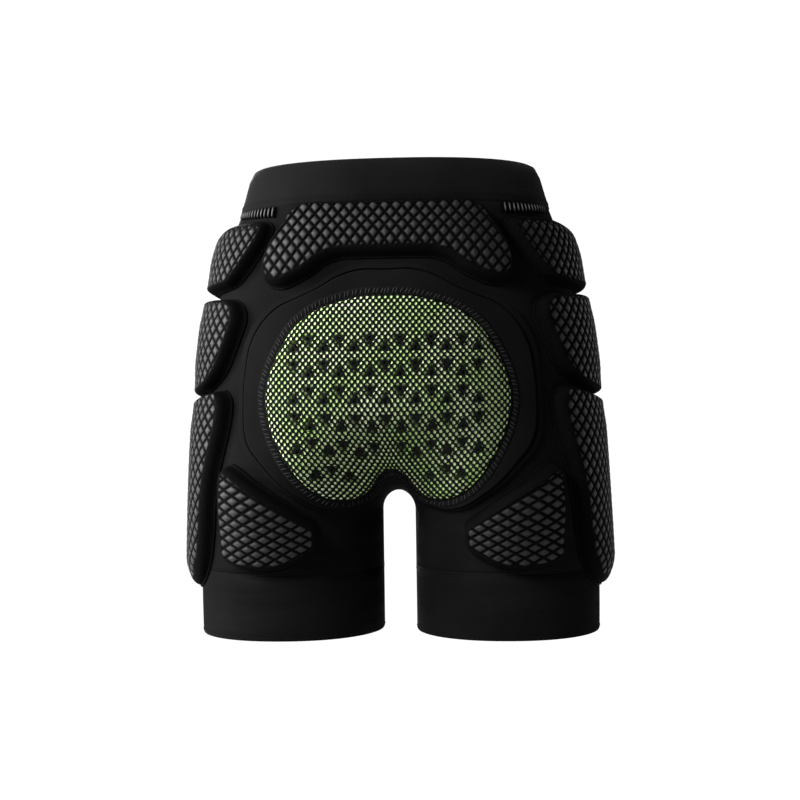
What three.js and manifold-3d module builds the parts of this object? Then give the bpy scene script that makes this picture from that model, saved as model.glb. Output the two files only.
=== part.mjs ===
// Padded protective shorts, filled out as if worn, with nobody in them.
// Millimetres. The rear faces -Y, the wearer's right is +X and up is +Z.
// The origin is the centre of the waistband ring, halfway up the band.

import * as THREE from "three";
import { mergeVertices } from "three/addons/utils/BufferGeometryUtils.js";
import Module from "manifold-3d";

const wasm = await Module();
wasm.setup();

// sizes of the whole garment
const bandHeight = 37;
const garmentHeight = 413.5;
const hipHalfWidth = 171.5;
const seatDepth = 123;
const bellyDepth = 102;
const crotchDrop = 289;
const archRise = 16;
const legGap = 30;
const archSoftness = 10.5;
const hipBlend = 100;
const cuffHeight = 57.7;

// cloth and foam
const clothThickness = 2;
const bandThickness = 3;
const bandProud = 1;
const padThickness = 13.5;
const padShoulder = 11;
const panelThickness = 5;
const seatPadThickness = 9;
const seatPadShoulder = 10;
const stackGap = 0.4;
const foamLift = 1.4;
const hipFoamLift = 1.1;
const seatPadLift = 1.7;
const windowGap = 0.8;

// how round the ovals are, 2 being an ellipse
const hipPower = 2.35;
const legPower = 2.15;

const bandTop = bandHeight / 2;
const hemLevel = bandTop - garmentHeight;
const cuffTop = hemLevel + cuffHeight;

// a level from its drop below the top of the band, as a share of the height
const levelAt = (drop) => bandTop - drop * garmentHeight;

// body sections from the top of the band down: drop as a share of the height,
// half width as a share of the hip, rear and front depth as shares of theirs
const sections = [
  { drop: 0, width: 0.748, rear: 0.775, front: 0.95 },
  { drop: 0.083, width: 0.806, rear: 0.795, front: 0.96 },
  { drop: 0.14, width: 0.856, rear: 0.815, front: 0.96 },
  { drop: 0.22, width: 0.904, rear: 0.885, front: 0.99 },
  { drop: 0.3, width: 0.943, rear: 0.94, front: 1 },
  { drop: 0.4, width: 0.976, rear: 0.985, front: 0.98 },
  { drop: 0.5, width: 1, rear: 1, front: 0.95 },
  { drop: 0.6, width: 1.018, rear: 0.955, front: 0.92 },
  { drop: 0.7, width: 1.032, rear: 0.86, front: 0.9 },
  { drop: 0.8, width: 1.044, rear: 0.78, front: 0.88 },
  { drop: 0.9, width: 1.052, rear: 0.735, front: 0.855 },
  { drop: 1, width: 1.05, rear: 0.71, front: 0.83 },
];

// one column of the sections at any level, smoothly through the rows
function column(key, drop) {
  const last = sections.length - 2;
  let k = 0;
  while (k < last && drop > sections[k + 1].drop) k += 1;
  const slope = (i) => {
    const a = sections[Math.max(i - 1, 0)];
    const b = sections[Math.min(i + 1, last + 1)];
    return (b[key] - a[key]) / (b.drop - a.drop);
  };
  const span = sections[k + 1].drop - sections[k].drop;
  const t = THREE.MathUtils.clamp((drop - sections[k].drop) / span, 0, 1);
  const t2 = t * t;
  const t3 = t2 * t;
  const from = (2 * t3 - 3 * t2 + 1) * sections[k][key] + (3 * t2 - 2 * t3) * sections[k + 1][key];
  return from + span * ((t3 - 2 * t2 + t) * slope(k) + (t3 - t2) * slope(k + 1));
}

const sectionCache = new Map();
function section(z) {
  if (!sectionCache.has(z)) {
    const drop = (bandTop - z) / garmentHeight;
    sectionCache.set(z, {
      width: column("width", drop) * hipHalfWidth,
      rear: column("rear", drop) * seatDepth,
      front: column("front", drop) * bellyDepth,
    });
  }
  return sectionCache.get(z);
}

const oval = (a, b, power) => (a ** power + b ** power) ** (1 / power);

// negative inside the body and positive outside: one hip oval above, melting
// into two leg ovals that part at the crotch arch
const innerEdge = Math.hypot(legGap / 2, archSoftness);
const archFoot = bandTop - crotchDrop - archRise;
function form(x, y, z) {
  const { width, rear, front } = section(z);
  const blend = THREE.MathUtils.smoothstep(z, archFoot, archFoot + hipBlend);
  const depth = Math.abs(y) / (y > 0 ? front : rear);
  const across = Math.abs(Math.hypot(x, archSoftness) - (width + innerEdge) / 2);
  const legRadius = (width - innerEdge) / 2;
  const leg = oval(across / legRadius, depth, legPower) - 1;
  const hip = oval(Math.abs(x) / width, depth, hipPower) - 1;
  return (1 - blend) * leg * legRadius + blend * hip * (rear + front) / 2;
}

// distance from a point inside to the cloth along a level or sloping direction
const farthest = 260;
const halvings = 34;
function reach(from, along, limit = farthest) {
  let near = 0;
  let far = limit;
  for (let i = 0; i < halvings; i += 1) {
    const mid = (near + far) / 2;
    const inside = form(from.x + along.x * mid, from.y + along.y * mid, from.z) < 0;
    if (inside) near = mid;
    else far = mid;
  }
  return near;
}

const probe = 0.4;
function outward(p) {
  return new THREE.Vector3(
    form(p.x + probe, p.y, p.z) - form(p.x - probe, p.y, p.z),
    form(p.x, p.y + probe, p.z) - form(p.x, p.y - probe, p.z),
    form(p.x, p.y, p.z + probe) - form(p.x, p.y, p.z - probe),
  ).normalize();
}

// a point on the back of the body, from how far across and how high
const rearward = new THREE.Vector3(0, -1, 0);
function onBack(across, level) {
  const from = new THREE.Vector3(across, 0, level);
  return from.clone().addScaledVector(rearward, reach(from, rearward));
}

// a point on the wearer's right side, from how far round towards the rear,
// measured along an arc of the side radius, and how high
const sideAxis = 85;
const sideRadius = 88;
function onSide(round, level) {
  const turn = round / sideRadius;
  const from = new THREE.Vector3(sideAxis, 0, level);
  const along = new THREE.Vector3(Math.cos(turn), -Math.sin(turn), 0);
  return from.clone().addScaledVector(along, reach(from, along));
}

// triangles collected from rows of points that each have the same count
function newSkin() {
  return { points: [], faces: [] };
}

function addRow(skin, row) {
  const start = skin.points.length;
  skin.points.push(...row);
  return Array.from(row, (_, i) => start + i);
}

function stitch(skin, a, b, closed = true) {
  const count = closed ? a.length : a.length - 1;
  for (let i = 0; i < count; i += 1) {
    const j = (i + 1) % a.length;
    skin.faces.push([a[i], a[j], b[j]], [a[i], b[j], b[i]]);
  }
}

// a body from a skin: points that meet are joined and slivers dropped
const joinWithin = 1e-3;
function toGeometry(skin) {
  const flat = skin.faces.flatMap((face) => face.flatMap((i) => skin.points[i].toArray()));
  const loose = new THREE.BufferGeometry();
  loose.setAttribute("position", new THREE.Float32BufferAttribute(flat, 3));
  const joined = mergeVertices(loose, joinWithin);
  const kept = [];
  const index = joined.index.array;
  for (let i = 0; i < index.length; i += 3) {
    const [a, b, c] = index.slice(i, i + 3);
    if (a !== b && b !== c && c !== a) kept.push(a, b, c);
  }
  joined.setIndex(kept);
  return joined;
}

function mirrored(geometry) {
  const copy = geometry.clone();
  copy.scale(-1, 1, 1);
  const index = Array.from(copy.index.array);
  for (let i = 0; i < index.length; i += 3) {
    [index[i + 1], index[i + 2]] = [index[i + 2], index[i + 1]];
  }
  copy.setIndex(index);
  return copy;
}

// materials, one per kind of surface
const colours = {
  fabric: { color: 0x17181a, roughness: 0.85 },
  elastic: { color: 0x141416, roughness: 0.6 },
  foam: { color: 0x1d1e20, roughness: 0.9 },
  gel: { color: 0x8fc43c, roughness: 0.5 },
};

const group = new THREE.Group();
group.name = "padded_shorts";

function addPiece(name, geometry, kind) {
  const shaded = geometry.clone();
  shaded.computeVertexNormals();
  const mesh = new THREE.Mesh(shaded, new THREE.MeshStandardMaterial(colours[kind]));
  mesh.name = name;
  group.add(mesh);
}

// shorts shell
// stretch cloth from under the band to the cuffs, open at the waist and legs
const turnsPerHalf = 18;
const shellTop = bandTop - bandHeight - stackGap;
const shellFoot = cuffTop + stackGap;

// the saddle between the legs, where the middle of the body ends
function saddleLevel() {
  let low = archFoot;
  let high = archFoot + hipBlend;
  for (let i = 0; i < halvings; i += 1) {
    const mid = (low + high) / 2;
    if (form(0, 0, mid) < 0) high = mid;
    else low = mid;
  }
  return high;
}
const saddle = saddleLevel();

// heights above the saddle as shares of the way to the shell top, and drops
// below it as shares of the way to the shell foot
const risesAbove = [1, 0.88, 0.76, 0.64, 0.52, 0.41, 0.31, 0.22, 0.14, 0.07, 0.02];
const dropsBelow = [0, 0.03, 0.12, 0.26, 0.42, 0.66, 1];

// half a level section of the wearer's right side, from front to rear
function halfSection(z, proud, count = turnsPerHalf) {
  const middle = new THREE.Vector3(0, 0, z);
  const open = z > saddle + joinWithin;
  const ahead = open ? reach(middle, new THREE.Vector3(0, 1, 0)) : 0;
  const behind = open ? reach(middle, rearward) : 0;
  const centre = new THREE.Vector3((section(z).width + innerEdge) / 2, 0, z);
  const first = Math.atan2(ahead, -centre.x);
  const last = -Math.atan2(behind, -centre.x);
  const row = [];
  for (let i = 0; i <= count; i += 1) {
    const turn = THREE.MathUtils.lerp(first, last, i / count);
    const along = new THREE.Vector3(Math.cos(turn), Math.sin(turn), 0);
    const limit = along.x < 0 ? Math.min(farthest, -centre.x / along.x) : farthest;
    const p = centre.clone().addScaledVector(along, reach(centre, along, limit));
    const ends = i === 0 || i === count;
    if (ends && z > saddle - joinWithin) p.x = 0;
    row.push(p);
  }
  return row.map((p) => {
    const way = outward(p);
    if (p.x === 0) way.x = 0;
    return p.clone().addScaledVector(way.normalize(), proud);
  });
}

// the same section kept level, for rims
function levelSection(z, proud, count = turnsPerHalf) {
  return halfSection(z, 0, count).map((p) => {
    const way = outward(p).setZ(0);
    if (p.x === 0) way.x = 0;
    return p.clone().addScaledVector(way.normalize(), proud);
  });
}

function shell() {
  const levels = [
    ...risesAbove.map((share) => THREE.MathUtils.lerp(saddle, shellTop, share)),
    ...dropsBelow.map((share) => THREE.MathUtils.lerp(saddle, shellFoot, share)),
  ];
  const skin = newSkin();
  const rim = (k) => k === 0 || k === levels.length - 1;
  const wall = (proud) => levels.map((z, k) => {
    const row = rim(k) ? levelSection(z, proud) : halfSection(z, proud);
    return addRow(skin, row);
  });
  const outer = wall(0);
  const inner = wall(-clothThickness);
  for (let k = 1; k < levels.length; k += 1) {
    stitch(skin, outer[k - 1], outer[k], false);
    stitch(skin, inner[k], inner[k - 1], false);
  }
  stitch(skin, inner[0], outer[0], false);
  stitch(skin, outer.at(-1), inner.at(-1), false);
  return bothHalves(skin);
}

// the right half and its reflection as one skin
function bothHalves(skin) {
  const shift = skin.points.length;
  const reflected = skin.points.map((p) => new THREE.Vector3(-p.x, p.y, p.z));
  const turned = skin.faces.map(([a, b, c]) => [a + shift, c + shift, b + shift]);
  skin.points.push(...reflected);
  skin.faces.push(...turned);
  return toGeometry(skin);
}

// a closed band of cloth: rows of level and proudness walked round its profile
function ring(profile, half) {
  const skin = newSkin();
  const rows = profile.map(({ level, proud }) => addRow(skin, levelSection(level, proud)));
  rows.forEach((row, k) => stitch(skin, rows.at(k - 1), row, false));
  return half ? toGeometry(skin) : bothHalves(skin);
}

addPiece("shorts_shell", shell(), "fabric");

// waistband
// wide smooth elastic, a little prouder than the shell, with eased edges
const edgeEase = 1.2;
const bandFoot = bandTop - bandHeight;
addPiece("waistband", ring([
  { level: bandTop, proud: bandProud - edgeEase },
  { level: bandTop - edgeEase, proud: bandProud },
  { level: bandFoot + edgeEase, proud: bandProud },
  { level: bandFoot, proud: bandProud - edgeEase / 2 },
  { level: bandFoot, proud: bandProud - bandThickness },
  { level: bandTop, proud: bandProud - bandThickness },
], false), "elastic");

// leg cuffs
// plain bands flush with the shell above them
const cuff = ring([
  { level: cuffTop, proud: 0 },
  { level: hemLevel + edgeEase, proud: 0 },
  { level: hemLevel, proud: -edgeEase / 2 },
  { level: hemLevel, proud: -clothThickness },
  { level: cuffTop, proud: -clothThickness },
], true);
addPiece("leg_cuff_right", cuff, "fabric");
addPiece("leg_cuff_left", mirrored(cuff), "fabric");

// pads
// an outline is a smooth loop through a short table, walked clockwise as seen
// from outside; the spine is the line that the rings of the pad close in on
function smoothLoop(table, count) {
  const knots = table.map(([u, v]) => new THREE.Vector3(u, v, 0));
  const curve = new THREE.CatmullRomCurve3(knots, true, "centripetal");
  return curve.getSpacedPoints(count).slice(0, count);
}

// the nearest place on a spine, and how far along the spine that is
function nearestOnSpine(p, spine) {
  let best = null;
  let before = 0;
  for (let i = 0; i + 1 < spine.length; i += 1) {
    const line = new THREE.Line3(spine[i], spine[i + 1]);
    const q = line.closestPointToPoint(p, true, new THREE.Vector3());
    const away = q.distanceTo(p);
    if (!best || away < best.away) best = { away, q, along: before + q.distanceTo(spine[i]) };
    before += line.distance();
  }
  return best;
}

function alongSpine(spine, distance) {
  let left = distance;
  for (let i = 0; i + 1 < spine.length; i += 1) {
    const step = spine[i].distanceTo(spine[i + 1]);
    if (left <= step + joinWithin) return spine[i].clone().lerp(spine[i + 1], Math.min(left / step, 1));
    left -= step;
  }
  return spine.at(-1).clone();
}

// rings of a pad from its sewn edge up over the shoulder: how far in as a share
// of the shoulder, and how high as a share of the thickness
const padProfile = [
  { inward: 0, rise: 0.111 },
  { inward: 0.218, rise: 0.133 },
  { inward: 0.309, rise: 0.45 },
  { inward: 0.545, rise: 0.78 },
  { inward: 1, rise: 0.95 },
];
const rounded = (profile, shoulder, thickness) => profile.map(({ inward, rise }) => (
  { inset: inward * shoulder, rise: rise * thickness }));
const faceRing = 0.6;
const padTop = [
  ...rounded(padProfile, padShoulder, padThickness),
  { share: faceRing, rise: padThickness },
];
const padCrown = 1.02 * padThickness;

// further rings lie evenly on the way to the spine, underneath and on the face
function evenly(strips, rise) {
  return Array.from({ length: strips }, (_, k) => ({ share: k / strips, rise }));
}

// rings stop short of the spine, and its points lie this many loop steps apart
const deepest = 0.5;
const spineStep = 1;

// how wide the shoulder is on each side of a pad's flat outline, as shares of the
// usual width, the right being the rear end of the side pads
const evenShoulders = { right: 1, top: 1, left: 1, bottom: 1 };

function pad({ loop, spine, place, top, crown, under, lift, shoulders = evenShoulders }) {
  const ridge = spine.map(([u, v]) => new THREE.Vector3(u, v, 0));
  const feet = loop.map((p) => nearestOnSpine(p, ridge));
  const widths = loop.map((p, i) => {
    const way = p.clone().sub(feet[i].q).normalize();
    const across = way.x > 0 ? shoulders.right : shoulders.left;
    const upright = way.y > 0 ? shoulders.top : shoulders.bottom;
    return way.x ** 2 * across + way.y ** 2 * upright;
  });
  const length = ridge.slice(1).reduce((sum, p, i) => sum + p.distanceTo(ridge[i]), 0);
  const spacing = spineStep * loop[0].distanceTo(loop[1]);
  const stations = Math.max(1, Math.round(length / spacing));
  const ends = feet.map(({ along }) => Math.round(along / length * stations));
  const skin = newSkin();
  const put = (p, rise) => {
    const seat = place(p.x, p.y);
    return seat.clone().addScaledVector(outward(seat), lift + rise);
  };
  const walk = ({ inset, share, rise }) => addRow(skin, loop.map((p, i) => {
    const way = share ?? Math.min(inset * widths[i] / feet[i].away, deepest);
    return put(p.clone().lerp(feet[i].q, way), rise);
  }));
  const rows = [...[...under].reverse().map(walk), ...top.map(walk)];
  for (let k = 1; k < rows.length; k += 1) stitch(skin, rows[k], rows[k - 1]);

  // a ring closed in on the spine, station by station
  const close = (row, rise, flip) => {
    const line = addRow(skin, Array.from({ length: stations + 1 },
      (_, k) => put(alongSpine(ridge, k / stations * length), rise)));
    row.forEach((a, i) => {
      const j = (i + 1) % row.length;
      const way = Math.sign(ends[j] - ends[i]);
      const faces = [[a, row[j], line[ends[j]]]];
      for (let k = ends[j]; k !== ends[i]; k -= way) faces.push([a, line[k], line[k - way]]);
      skin.faces.push(...faces.map(([p, q, r]) => (flip ? [p, r, q] : [p, q, r])));
    });
  };
  close(rows[0], 0, false);
  close(rows.at(-1), crown, true);
  return toGeometry(skin);
}

// tables of outlines hold shares: across of the half width or the arc round the
// side, and down of the height, from the top edge of the pad
function sized(table, wide, tall, topLevel) {
  return table.map(([across, down]) => [across * wide, topLevel - down * tall]);
}

// closes the right half of an outline with its reflection
function symmetric(table) {
  const back = table.filter(([across]) => across > 0).map(([across, down]) => [-across, down]);
  return [...table, ...back.reverse()];
}

// lumbar pad
// wide arch of foam tucked under the band, its two ends hanging lower
const lumbarHalfWidth = 108;
const lumbarHeight = 74;
const lumbarTop = bandFoot - stackGap;
const lumbarPoints = 40;
const lumbarOutline = symmetric([
  [0, 0], [0.35, 0], [0.64, 0], [0.77, 0.1], [0.85, 0.26], [0.94, 0.48], [0.995, 0.68],
  [1, 0.82], [0.955, 0.95], [0.88, 1], [0.79, 1], [0.69, 0.94], [0.585, 0.86],
  [0.48, 0.75], [0.37, 0.69], [0.2, 0.68], [0, 0.68],
]);
const lumbarShoulders = { right: 1, top: 0.4, left: 1, bottom: 1.2 };
const lumbarSpine = [[-0.86, 0.76], [-0.62, 0.42], [-0.3, 0.33], [0.3, 0.33], [0.62, 0.42], [0.86, 0.76]];
addPiece("lumbar_pad", pad({
  loop: smoothLoop(sized(lumbarOutline, lumbarHalfWidth, lumbarHeight, lumbarTop), lumbarPoints),
  spine: sized(lumbarSpine, lumbarHalfWidth, lumbarHeight, lumbarTop),
  place: onBack,
  top: padTop,
  crown: padCrown,
  under: evenly(2, 0),
  lift: foamLift,
  shoulders: lumbarShoulders,
}), "foam");

// rear thigh pads
// five-sided pads at the back of each thigh, slanted along the seat panel
const rearThighArc = 160;
const rearThighHeight = 94;
const rearThighTop = levelAt(0.6276);
const rearThighOutline = [
  [0.585, 0], [0.63, 0.03], [0.726, 0.165], [0.83, 0.31], [0.928, 0.45], [0.987, 0.54],
  [1, 0.65], [0.985, 0.8], [0.923, 0.89], [0.853, 0.955], [0.77, 1], [0.693, 1],
  [0.61, 0.98], [0.54, 0.925], [0.502, 0.84], [0.502, 0.66], [0.515, 0.3], [0.535, 0.07],
];
const rearThighSpine = [[0.63, 0.4], [0.72, 0.66], [0.82, 0.7]];

// outer thigh pads
// long pads down the outside of each leg, narrowing towards the hem
const thighArc = 92;
const thighHeight = 178;
const thighTop = levelAt(0.474);
const outerThighOutline = [
  [0.65, 0.016], [0.8, 0.004], [0.91, 0.004], [0.985, 0.05], [0.985, 0.15], [0.93, 0.3],
  [0.87, 0.43], [0.81, 0.58], [0.745, 0.73], [0.66, 0.86], [0.53, 0.945], [0.35, 0.99],
  [0, 1], [-0.36, 0.97], [-0.52, 0.88], [-0.58, 0.7], [-0.61, 0.45], [-0.62, 0.24],
  [-0.58, 0.13], [-0.44, 0.08], [0, 0.064], [0.3, 0.05], [0.48, 0.034],
];
const outerThighShoulders = { right: 1, top: 0.45, left: 1, bottom: 3 };
const outerThighSpine = [[0.24, 0.24], [0.1, 0.7]];

// mid hip pads
// pads over the hip bones
const midHipArc = 103;
const midHipHeight = 91.5;
const midHipTop = levelAt(0.2788);
const midHipOutline = [
  [0.7, 0.01], [0.88, 0.035], [0.975, 0.115], [1, 0.24], [0.965, 0.37], [0.9, 0.54],
  [0.83, 0.69], [0.73, 0.8], [0.58, 0.88], [0.3, 0.94], [0, 0.975], [-0.4, 0.985],
  [-0.54, 0.85], [-0.58, 0.5], [-0.56, 0.2], [-0.44, 0.04], [0, 0],
];
const midHipShoulders = { right: 1, top: 0.6, left: 1, bottom: 0.45 };
const midHipSpine = [[0.5, 0.42], [-0.2, 0.5]];

// upper hip pads
// smaller pads at the top of each hip, the rear edge slanting down and outwards
const upperHipArc = 120;
const upperHipHeight = 71.4;
const upperHipTop = levelAt(0.1004);
const upperHipOutline = [
  [0.55, 0.115], [0.78, 0.105], [0.96, 0.115], [1.03, 0.2], [1.01, 0.37], [0.93, 0.57],
  [0.82, 0.79], [0.73, 0.905], [0.58, 0.95], [0.3, 0.975], [0, 0.99], [-0.32, 1],
  [-0.45, 0.86], [-0.49, 0.5], [-0.48, 0.3], [-0.38, 0.18], [0, 0.165], [0.3, 0.15],
];
const upperHipShoulders = { right: 1, top: 1.5, left: 1, bottom: 0.45 };
const upperHipSpine = [[0.62, 0.46], [-0.18, 0.5]];

const sidePads = [
  { name: "rear_thigh_pad", outline: rearThighOutline, spine: rearThighSpine, wide: rearThighArc,
    tall: rearThighHeight, top: rearThighTop, shoulders: evenShoulders, lift: foamLift,
    count: 26, strips: 3 },
  { name: "outer_thigh_pad", outline: outerThighOutline, spine: outerThighSpine, wide: thighArc,
    tall: thighHeight, top: thighTop, shoulders: outerThighShoulders, lift: foamLift,
    count: 32, strips: 4 },
  { name: "mid_hip_pad", outline: midHipOutline, spine: midHipSpine, wide: midHipArc,
    tall: midHipHeight, top: midHipTop, shoulders: midHipShoulders, lift: foamLift,
    count: 24, strips: 3 },
  { name: "upper_hip_pad", outline: upperHipOutline, spine: upperHipSpine, wide: upperHipArc,
    tall: upperHipHeight, top: upperHipTop, shoulders: upperHipShoulders, lift: hipFoamLift,
    count: 24, strips: 3 },
];
for (const { name, outline, spine, wide, tall, top, shoulders, lift, count, strips } of sidePads) {
  // a side table measures towards the rear, so seen from outside it runs the other way
  const right = pad({
    loop: smoothLoop(sized([...outline].reverse(), wide, tall, top), count),
    spine: sized(spine, wide, tall, top),
    place: onSide,
    top: padTop,
    crown: padCrown,
    under: evenly(strips, 0),
    lift,
    shoulders,
  });
  addPiece(`${name}_right`, right, "foam");
  addPiece(`${name}_left`, mirrored(right), "foam");
}

// seat panel
// moulded yoke round the window, stepped down to a thin edge all round
const panelHalfWidth = 128;
const panelHeight = 209;
const panelTop = levelAt(0.2237);
const windowHalfWidth = 102;
const windowHeight = 172;
const windowTop = levelAt(0.2878);
const panelOutline = symmetric([
  [0, 0], [0.19, 0], [0.34, 0.03], [0.47, 0.08], [0.63, 0.12], [0.74, 0.145], [0.82, 0.18],
  [0.9, 0.235], [0.96, 0.31], [0.985, 0.4], [1, 0.52], [1, 0.68], [0.965, 0.745],
  [0.875, 0.81], [0.745, 0.89], [0.61, 0.95], [0.5, 0.99], [0.39, 1], [0.29, 0.985],
  [0.21, 0.95], [0.13, 0.9], [0.06, 0.875], [0, 0.87],
]);
const windowOutline = symmetric([
  [0, 0], [0.13, 0], [0.34, 0.02], [0.58, 0.07], [0.76, 0.155], [0.885, 0.27], [0.97, 0.39],
  [1, 0.5], [0.97, 0.64], [0.885, 0.77], [0.78, 0.875], [0.63, 0.965], [0.47, 1],
  [0.35, 0.99], [0.27, 0.965], [0.2, 0.92], [0.13, 0.865], [0.06, 0.835], [0, 0.83],
]);

// how far a loop lies from the window centre in a given direction
const windowMiddle = 0.49;
const windowCentre = new THREE.Vector3(0, windowTop - windowMiddle * windowHeight, 0);
const fine = 480;
function byDirection(table) {
  const loop = smoothLoop(table, fine).map((p) => p.clone().sub(windowCentre));
  const turns = loop.map((p) => ({ turn: Math.atan2(p.x, p.y), p }));
  return turns.sort((a, b) => a.turn - b.turn);
}
function meet(list, turn) {
  const k = list.findIndex((row) => row.turn >= turn);
  const b = list[(k + list.length) % list.length];
  const a = list[(k - 1 + list.length) % list.length];
  const gap = (b.turn - a.turn + 2 * Math.PI) % (2 * Math.PI) || 1;
  const share = ((turn - a.turn + 2 * Math.PI) % (2 * Math.PI)) / gap;
  return a.p.clone().lerp(b.p, Math.min(share, 1)).add(windowCentre);
}

// the panel's section: how far from its edge to the window, and how high as a
// share of its thickness, up over the step and back underneath
const panelSteps = [
  { across: 0, rise: 0 },
  { across: 0, rise: 0.3 },
  { across: 0.2, rise: 0.38 },
  { across: 0.3, rise: 0.8 },
  { across: 0.45, rise: 1 },
  { across: 0.85, rise: 1 },
  { across: 1, rise: 0.76 },
  { across: 1, rise: 0 },
  { across: 0.67, rise: 0 },
  { across: 0.33, rise: 0 },
];
const panelPoints = 38;
function directed(table, wide, tall, topLevel) {
  const list = byDirection(sized(table, wide, tall, topLevel));
  return Array.from({ length: panelPoints },
    (_, i) => meet(list, -Math.PI + (i + 0.5) * 2 * Math.PI / panelPoints));
}
const windowLoop = directed(windowOutline, windowHalfWidth, windowHeight, windowTop);
function seatPanel() {
  const outer = directed(panelOutline, panelHalfWidth, panelHeight, panelTop);
  const skin = newSkin();
  const rows = panelSteps.map(({ across, rise }) => addRow(skin, outer.map((edge, i) => {
    const p = edge.clone().lerp(windowLoop[i], across);
    const seat = onBack(p.x, p.y);
    return seat.clone().addScaledVector(outward(seat), foamLift + rise * panelThickness);
  })));
  rows.forEach((row, k) => stitch(skin, row, rows.at(k - 1)));
  return toGeometry(skin);
}
addPiece("seat_panel", seatPanel(), "foam");

// seat pad
// soft green pad that fills the window, with rows of rounded triangular holes
const seatProfile = [
  { inward: 0, rise: 0.45 },
  { inward: 0.3, rise: 0.75 },
  { inward: 1, rise: 0.96 },
];
const seatSpine = [[-0.3, 0.5], [0.3, 0.5]];
const seatRidge = sized(seatSpine, windowHalfWidth, windowHeight, windowTop)
  .map(([u, v]) => new THREE.Vector3(u, v, 0));
const seatBlank = pad({
  loop: windowLoop.map((p) => {
    const { away, q } = nearestOnSpine(p, seatRidge);
    return p.clone().lerp(q, windowGap / away);
  }),
  spine: sized(seatSpine, windowHalfWidth, windowHeight, windowTop),
  place: onBack,
  top: rounded(seatProfile, seatPadShoulder, seatPadThickness),
  crown: seatPadThickness,
  under: evenly(3, 0),
  lift: seatPadLift,
});

// rows of holes: height from the window top as a share, where the first hole is
// from the middle in pitches, how many, and whether it points down
const holePitch = 25.2;
const holeReach = 5.6;
const holeRows = [
  { down: 0.217, first: -2.5, count: 6, points: -1 },
  { down: 0.256, first: -3, count: 7, points: 1 },
  { down: 0.339, first: -3, count: 7, points: -1 },
  { down: 0.378, first: -2.5, count: 6, points: 1 },
  { down: 0.461, first: -2.5, count: 6, points: -1 },
  { down: 0.505, first: -3, count: 7, points: 1 },
  { down: 0.588, first: -3, count: 7, points: -1 },
  { down: 0.627, first: -2.5, count: 6, points: 1 },
  { down: 0.706, first: -2.5, count: 6, points: -1 },
  { down: 0.745, first: -3, count: 3, points: 1 },
  { down: 0.745, first: 1, count: 3, points: 1 },
  { down: 0.828, first: -2, count: 1, points: -1 },
  { down: 0.828, first: 2, count: 1, points: -1 },
  { down: 0.862, first: -2.5, count: 2, points: 1 },
  { down: 0.862, first: 1.5, count: 2, points: 1 },
];
const holeDepth = 170;

// a triangular rod through the pad, one corner pointing up or down
const third = 2 * Math.PI / 3;
function holeRod(x, z, points) {
  const corners = [0, 1, 2].map((k) => {
    const turn = points * Math.PI / 2 + k * third;
    return new THREE.Vector2(Math.cos(turn), Math.sin(turn)).multiplyScalar(holeReach);
  });
  const shape = new THREE.Shape(corners);
  const rod = new THREE.ExtrudeGeometry(shape, { depth: holeDepth, bevelEnabled: false });
  rod.rotateX(Math.PI / 2);
  rod.translate(x, 0, z);
  return rod;
}

function toManifold(geometry) {
  const bare = geometry.clone();
  bare.deleteAttribute("normal");
  bare.deleteAttribute("uv");
  const joined = mergeVertices(bare, joinWithin);
  return new wasm.Manifold(new wasm.Mesh({
    numProp: 3,
    vertProperties: new Float32Array(joined.attributes.position.array),
    triVerts: new Uint32Array(joined.index.array),
  }));
}

function fromManifold(solid) {
  const mesh = solid.getMesh();
  const geometry = new THREE.BufferGeometry();
  geometry.setAttribute("position", new THREE.Float32BufferAttribute(mesh.vertProperties, 3));
  geometry.setIndex(Array.from(mesh.triVerts));
  return geometry;
}

let seat = toManifold(seatBlank);
for (const { down, first, count, points } of holeRows) {
  for (let k = 0; k < count; k += 1) {
    const across = (first + k) * holePitch;
    seat = seat.subtract(toManifold(holeRod(across, windowTop - down * windowHeight, points)));
  }
}
addPiece("seat_pad", fromManifold(seat), "gel");

// gathers
// short shirred strips between the band and the upper hip pads, deeper at the rear
const gatherTop = bandFoot - 2 * stackGap;
const gatherHeight = { front: 7, rear: 9.4 };
const gatherFrom = 62;
const gatherTo = 125;
const ribCount = 10;
const ribRise = 1.6;
const ribFloor = 1.2;
function gather() {
  const skin = newSkin();
  const columns = 2 * ribCount + 1;
  const profile = [
    { down: 0, rise: 0, rib: 0 },
    { down: 0, rise: ribFloor, rib: 0.4 },
    { down: 0.5, rise: ribFloor, rib: 1 },
    { down: 1, rise: ribFloor, rib: 0.4 },
    { down: 1, rise: 0, rib: 0 },
  ];
  const rows = profile.map(({ down, rise, rib }) => {
    const row = [];
    for (let i = 0; i < columns; i += 1) {
      const share = i / (columns - 1);
      const tall = THREE.MathUtils.lerp(gatherHeight.front, gatherHeight.rear, share);
      const round = THREE.MathUtils.lerp(gatherFrom, gatherTo, share);
      const p = onSide(round, gatherTop - down * tall);
      const crest = i % 2 ? ribRise * rib : 0;
      row.push(p.clone().addScaledVector(outward(p), stackGap + rise + crest));
    }
    return addRow(skin, row);
  });
  rows.forEach((row, k) => stitch(skin, rows.at(k - 1), row, false));
  const cap = (column, flip) => {
    const ids = rows.map((row) => row.at(column));
    for (let i = 1; i + 1 < ids.length; i += 1) {
      skin.faces.push(flip ? [ids[0], ids[i + 1], ids[i]] : [ids[0], ids[i], ids[i + 1]]);
    }
  };
  cap(0, false);
  cap(-1, true);
  return toGeometry(skin);
}
const gatherStrip = gather();
addPiece("gather_right", gatherStrip, "fabric");
addPiece("gather_left", mirrored(gatherStrip), "fabric");

export default group;
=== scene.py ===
import math

import bmesh
import bpy
import numpy as np
from mathutils import Matrix, Vector


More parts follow.
